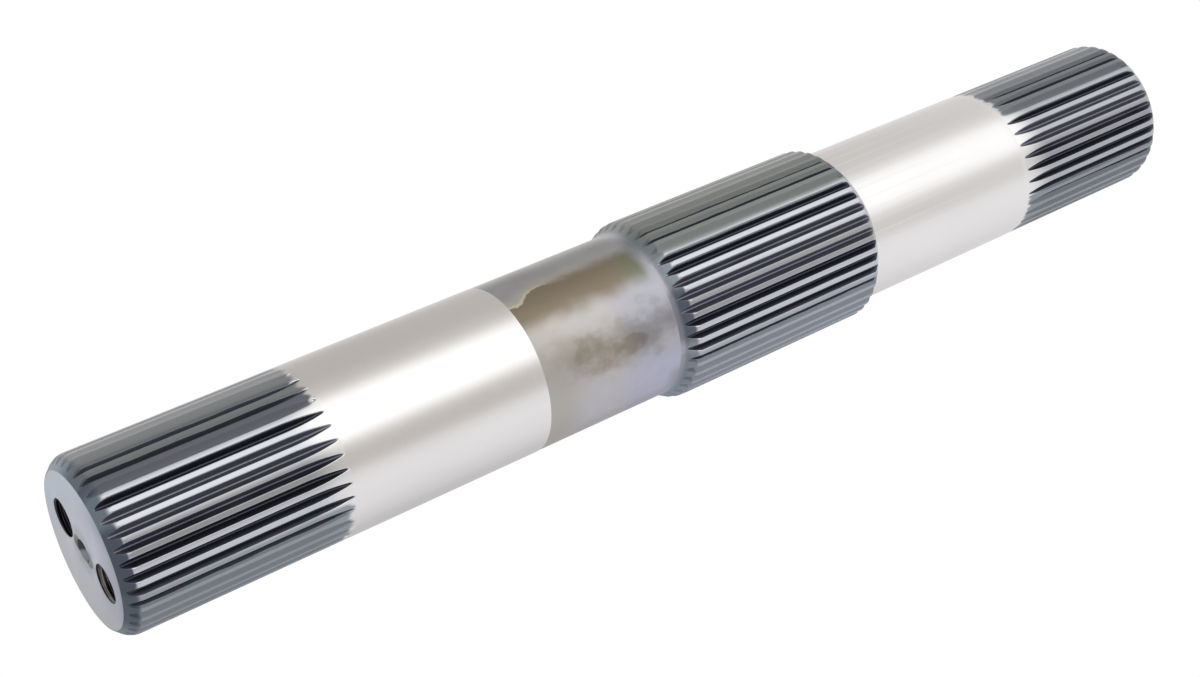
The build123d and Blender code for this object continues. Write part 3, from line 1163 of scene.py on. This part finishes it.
def brown_share(graph, azimuth, height, cloud, mottle):
    """How brown the plain band is, in blotches with a thin wash round them."""
    ragged = graph.varied(0.0, (cloud, 2.0), (mottle, 2.0))
    wash = graph.math("ADD", graph.spot(azimuth, height, *WASH), ragged)
    brown = graph.product(graph.smooth(wash, *WASH_FADE), WASH_STRENGTH)
    for centre, halves, strength in BLOTCHES:
        spot = graph.math("ADD", graph.spot(azimuth, height, centre, halves), ragged)
        brown = graph.math("MAXIMUM", brown, graph.product(graph.smooth(spot, *BLOTCH_FADE), strength))
    return brown


def olive_stained(graph, finish, color, azimuth, height, fading, stained_side, cloud):
    """A colour with the olive stain over it, up to a dried line with a pale halo above."""
    speckle = graph.noise(graph.place(), (600, 600, 400), 4.0)
    falling = (graph.smooth(height, *STAIN_EDGE_FALLS), STAIN_EDGE_FALL)
    edge = graph.varied(STAIN_EDGE, falling, (cloud, 10.0), (speckle, 4.0))
    above_edge = graph.math("SUBTRACT", azimuth, edge)
    halo = graph.product(graph.smooth(above_edge, *HALO_FADE), graph.smooth(height, *HALO_START))
    halo = graph.product(graph.product(halo, stained_side), 0.35)
    color = graph.mix(halo, color, finish.pale_color)

    softening = (graph.smooth(height, *STAIN_EDGE_SOFTENS), STAIN_EDGE_SOFTER)
    softness = graph.varied(STAIN_EDGE_SOFTNESS, softening)
    olive = graph.smooth(above_edge, softness, graph.product(softness, -1.0))
    olive = graph.product(olive, graph.smooth(fading, *TO_OLIVE))
    olive = graph.product(olive, graph.smooth(graph.varied(height, (cloud, 4.0)), *OLIVE_START))
    green_share = graph.smooth(height, *OLIVE_TO_GREEN)
    color = graph.mix(olive, color, graph.mix(green_share, finish.olive_color, finish.green_color))

    dried = graph.smooth(graph.math("ABSOLUTE", above_edge), *DRIED_LINE_FADE)
    dried = graph.product(dried, graph.smooth(height, *DRIED_LINE_START))
    return graph.mix(dried, color, finish.pale_color)


def stained_steel(finish):
    """The plain band, left as turned, with an olive stain above and brown blotches on its side, under painted
    light and shade by side and beside the shoulder.
    """
    material, graph, surface = steel("stained_steel", 0.3)
    place = graph.place()
    azimuth, height = graph.round_the_shaft(place)
    height = graph.math("SUBTRACT", height, centre_spline_top / MM)
    cloud = graph.noise(place, (110, 110, 90), 6.0)
    mottle = graph.noise(place, (280, 280, 200), 4.0)
    turned = graph.noise(place, (60, 60, 3500))
    fading = graph.varied(azimuth, (cloud, 14.0))
    stained_side = graph.window(azimuth, *STAINED_SIDE)

    clean = clean_band(graph, finish, place, azimuth, height, fading, cloud, mottle)
    color = graph.mix(stained_side, graph.mottled(cloud, finish.plain_color, 0.14), clean)
    color = graph.mix(brown_share(graph, azimuth, height, cloud, mottle), color, finish.brown_color)
    color = olive_stained(graph, finish, color, azimuth, height, fading, stained_side, cloud)

    # Painted shade and light in the oil's colours beside the shoulder
    reach = graph.smooth(graph.varied(height, (cloud, 6.0)), *SHOULDER_SHADING_REACH)
    reach = graph.math("MAXIMUM", reach, graph.smooth(height, *SHOULDER_SHADING_ALWAYS))
    shoulder_shading_share = graph.product(shoulder_shading(graph, azimuth), reach)
    color = graph.mix(shoulder_shading_share, color, film_shading_by_side(graph, finish, azimuth))

    graph.finish(surface, color, graph.varied(0.44, (cloud, 0.2)), graph.bump(turned, 0.002 * MM))
    return material


def centre_shade_marks(graph, place, noise):
    """Painted shade at both ends of a lathe centre, in line with the tapped holes."""
    split = graph.add("ShaderNodeSeparateXYZ", {"Vector": place}).outputs
    along = graph.math("SUBTRACT", graph.math("ABSOLUTE", split["X"]), SHADE_MARK_DISTANCE)
    offset = graph.add("ShaderNodeCombineXYZ", {"X": along, "Y": split["Y"]}).outputs[0]
    from_shade_mark = graph.varied(graph.length(offset), (noise, SHADE_MARK_REACH))
    return graph.smooth(from_shade_mark, SHADE_MARK_REACH, SHADE_MARK_CORE)


def faced_steel(finish):
    """End faces with the lathe's rings, a cooler painted reflection above, a warmer one below, and painted
    shade away from a painted pool of light.
    """
    material, graph, surface = steel("faced_steel", 0.0)
    place = graph.place()
    flat = graph.vector("MULTIPLY", place, (1, 1, 0))
    from_axis = graph.length(flat)
    radius = graph.add("ShaderNodeCombineXYZ", {"X": from_axis}).outputs[0]
    rings = graph.noise(radius, (5000, 1, 1), 2.0)
    cloud = graph.noise(place, (90, 90, 90))
    smears = graph.noise(place, (220, 220, 220), 3.0)
    distance = graph.length(graph.vector("SUBTRACT", flat, BRIGHTEST_ON_FACE))
    # Painted shade away from a painted pool of light
    dull_shade = graph.smooth(graph.varied(distance, (cloud, 6 * MM)), *FACE_SHADE_REACH)
    color = graph.mix(dull_shade, graph.mottled(cloud, finish.faced_color, 0.1), finish.face_shade_color)
    split = graph.add("ShaderNodeSeparateXYZ", {"Vector": place}).outputs
    # Painted reflections: cooler towards the upper rim, warmer towards the lower side
    upwards = graph.varied(0.0, (split["X"], -0.7), (split["Y"], 0.7), (cloud, 6 * MM))
    color = graph.mix(graph.smooth(upwards, *COOL_RIM_REFLECTION), color, finish.cool_reflection_color)
    warm_reflection = graph.product(graph.smooth(split["Y"], *WARM_SIDE_REFLECTION), 0.6)
    color = graph.mix(warm_reflection, color, finish.warm_reflection_color)
    handled = graph.smooth(graph.varied(from_axis, (smears, 8 * MM)), *WORN_REACH)
    color = graph.mix(graph.product(handled, 0.7), color, finish.centred_color)
    # Painted shade at the lathe centre
    shade_mark = graph.product(centre_shade_marks(graph, place, smears), 0.8)
    color = graph.mix(shade_mark, color, finish.hole_oil_and_shade_color)
    graph.finish(surface, color, graph.varied(0.35, (cloud, 0.1)), graph.bump(rings, 0.002 * MM))
    return material


def tapped_steel(finish):
    """Threads and drilled walls, dark with cutting oil and painted shade, and browner in one hole than in the
    other, as sludge with a painted glint.
    """
    material, graph, surface = steel("tapped_steel", 0.0)
    place = graph.place()
    cloud = graph.noise(place, (300, 300, 300))
    side = graph.add("ShaderNodeSeparateXYZ", {"Vector": place}).outputs["X"]
    patches = graph.smooth(graph.noise(place, (160, 160, 160)), -0.12, 0.08)
    # Brown sludge with a painted glint in one hole
    oil_and_light = graph.product(graph.smooth(side, *BROWN_GLINT_SIDE), patches)
    color = graph.mix(oil_and_light, graph.mottled(cloud, finish.hole_oil_and_shade_color, 0.5), finish.sludge_and_glint_color)
    graph.finish(surface, color, graph.varied(0.32, (cloud, 0.15), (oil_and_light, 0.2)))
    return material


def centred_steel(finish):
    """The cone of a lathe centre, worn bright between marks of painted shade."""
    material, graph, surface = steel("centred_steel", 0.0)
    place = graph.place()
    smears = graph.noise(place, (220, 220, 220), 3.0)
    # Painted shade at both ends of the cone
    shade_mark = graph.product(centre_shade_marks(graph, place, smears), 0.9)
    color = graph.mix(shade_mark, shaded(finish.centred_color, 0.7), finish.hole_oil_and_shade_color)
    graph.finish(surface, color, graph.varied(0.42, (shade_mark, 0.1)))
    return material


def studio_world():
    """Soft light all round, as bands that change with azimuth, brighter below and dimmer above."""
    world = bpy.data.worlds.new("studio_light")
    world.use_nodes = True
    graph = Graph(world.node_tree)
    direction = graph.add("ShaderNodeTexCoord").outputs["Generated"]
    split = graph.add("ShaderNodeSeparateXYZ", {"Vector": direction})
    azimuth = graph.math("ARCTAN2", split.outputs["Y"], split.outputs["X"])
    ramp = graph.add("ShaderNodeValToRGB", {"Fac": graph.varied(0.5, (azimuth, 1 / (2 * math.pi)))})
    ramp.color_ramp.interpolation = "EASE"
    elements = ramp.color_ramp.elements
    for number, (degrees, brightness, tint) in enumerate(LIGHT_BANDS):
        position = degrees / 360 + 0.5
        element = elements[number] if number < len(elements) else elements.new(position)
        element.position = position
        element.color = (*(brightness * c / BRIGHTEST for c in tint), 1.0)
    bands = ramp.outputs["Color"]
    height = split.outputs["Z"]
    below = graph.smooth(height, FLOOR_GLOW_FROM, FLOOR_GLOW_TO)
    above = graph.smooth(height, CEILING_FROM, CEILING_TO)
    toward = graph.add("ShaderNodeVectorMath", {0: direction, 1: FACE_LIGHT}, operation="DOT_PRODUCT")
    face_share = graph.smooth(toward.outputs["Value"], FACE_LIGHT_EDGE, FACE_LIGHT_CORE)
    light = graph.mix(below, bands, [c / BRIGHTEST for c in FLOOR_GLOW])
    light = graph.mix(above, light, [c / BRIGHTEST for c in CEILING])
    light = graph.mix(face_share, light, [c / BRIGHTEST for c in FACE_LIGHT_COLOR])
    background = graph.add("ShaderNodeBackground", {"Color": light, "Strength": BRIGHTEST})
    output = graph.add("ShaderNodeOutputWorld")
    graph.tree.links.new(background.outputs[0], output.inputs["Surface"])
    return world


def sweep_mesh():
    """A round floor that curves up into a wall, both as white as paper."""
    turns = np.linspace(0, math.pi / 2, CURVE_ROWS)
    rows = [(FLOOR_RADIUS + CURVE_RADIUS * math.sin(a), CURVE_RADIUS * (1 - math.cos(a))) for a in turns]
    rows.append((FLOOR_RADIUS + CURVE_RADIUS, WALL_TOP))
    columns = np.exp(2j * math.pi * np.arange(WALL_COLUMNS) / WALL_COLUMNS)
    points = [tuple(point) for radius, height in rows for point in ring_points(radius * columns, height)]
    faces = [tuple(range(WALL_COLUMNS))]
    for low in range(0, (len(rows) - 1) * WALL_COLUMNS, WALL_COLUMNS):
        high = low + WALL_COLUMNS
        for left in range(WALL_COLUMNS):
            right = (left + 1) % WALL_COLUMNS
            faces.append((low + left, high + left, high + right, low + right))
    mesh = bpy.data.meshes.new("studio_sweep")
    mesh.from_pydata(points, [], faces)
    material = bpy.data.materials.new("white_sweep")
    material.use_nodes = True
    graph = Graph(material.node_tree)
    glow = graph.add("ShaderNodeEmission", {"Color": (1, 1, 1, 1), "Strength": 1.0})
    output = graph.add("ShaderNodeOutputMaterial")
    graph.tree.links.new(glow.outputs[0], output.inputs["Surface"])
    mesh.materials.append(material)
    return mesh


class LIFT_SHAFT_OT_shaft(bpy.types.Operator):
    """Builds the shaft's skin over its solid, with all its finishes"""

    bl_idname = "lift_shaft.shaft"
    bl_label = "Lift arm shaft"

    def execute(self, context):
        finish = context.scene.lift_shaft_finish
        mesh = shaft_mesh(context.scene.lift_shaft_sizes, finish)
        for make in (worked_steel, stained_steel, faced_steel, tapped_steel, centred_steel):
            mesh.materials.append(make(finish))
        shaft = bpy.data.objects.new("shaft_skin", mesh)
        context.scene.collection.objects.link(shaft)
        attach(shaft, "root")
        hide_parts(NODE)
        return {"FINISHED"}


class LIFT_SHAFT_OT_studio(bpy.types.Operator):
    """Sets up a white floor that curves up into a backdrop, and soft light all round"""

    bl_idname = "lift_shaft.studio"
    bl_label = "White studio"

    def execute(self, context):
        context.scene.world = studio_world()
        context.scene.view_settings.view_transform = "Standard"
        sweep = bpy.data.objects.new("studio_sweep", sweep_mesh())
        context.scene.collection.objects.link(sweep)
        sweep.visible_diffuse = False
        sweep.visible_glossy = False
        sweep.visible_transmission = False
        sweep.visible_shadow = False
        return {"FINISHED"}


class LIFT_SHAFT_OT_camera(bpy.types.Operator):
    """Places the camera at the photograph's viewing angle"""

    bl_idname = "lift_shaft.camera"
    bl_label = "Camera"

    def execute(self, context):
        data = bpy.data.cameras.new("camera")
        data.lens = CAMERA_LENS
        data.sensor_width = CAMERA_SENSOR
        data.sensor_fit = "HORIZONTAL"
        data.clip_start = CAMERA_CLIP
        camera = bpy.data.objects.new("camera", data)
        camera.location = CAMERA_POSITION
        heading = Matrix.Rotation(CAMERA_AZIMUTH - math.pi / 2, 4, "Z")
        tilt = Matrix.Rotation(CAMERA_ELEVATION + math.pi / 2, 4, "X")
        roll = Matrix.Rotation(CAMERA_ROLL, 4, "Z")
        camera.rotation_euler = (heading @ tilt @ roll).to_euler()
        context.scene.collection.objects.link(camera)
        context.scene.camera = camera
        return {"FINISHED"}


class LIFT_SHAFT_PT_panel(bpy.types.Panel):
    """Lists what the add-on builds"""

    bl_idname = "LIFT_SHAFT_PT_panel"
    bl_label = "Lift Shaft"
    bl_space_type = "VIEW_3D"
    bl_region_type = "UI"
    bl_category = "Lift Shaft"

    def draw(self, context):
        for operator in OPERATORS:
            self.layout.operator(operator.bl_idname)
        for group in (context.scene.lift_shaft_sizes, context.scene.lift_shaft_finish):
            for name in group.__annotations__:
                self.layout.prop(group, name)


OPERATORS = (LIFT_SHAFT_OT_shaft, LIFT_SHAFT_OT_studio, LIFT_SHAFT_OT_camera)
CLASSES = (ShaftSizes, ShaftFinish, *OPERATORS, LIFT_SHAFT_PT_panel)


def register():
    for cls in CLASSES:
        bpy.utils.register_class(cls)
    bpy.types.Scene.lift_shaft_sizes = bpy.props.PointerProperty(type=ShaftSizes)
    bpy.types.Scene.lift_shaft_finish = bpy.props.PointerProperty(type=ShaftFinish)


def unregister():
    del bpy.types.Scene.lift_shaft_finish
    del bpy.types.Scene.lift_shaft_sizes
    for cls in reversed(CLASSES):
        bpy.utils.unregister_class(cls)


def main():
    register()
    bpy.ops.lift_shaft.shaft()
    bpy.ops.lift_shaft.studio()
    bpy.ops.lift_shaft.camera()


if __name__ == "__main__":
    main()
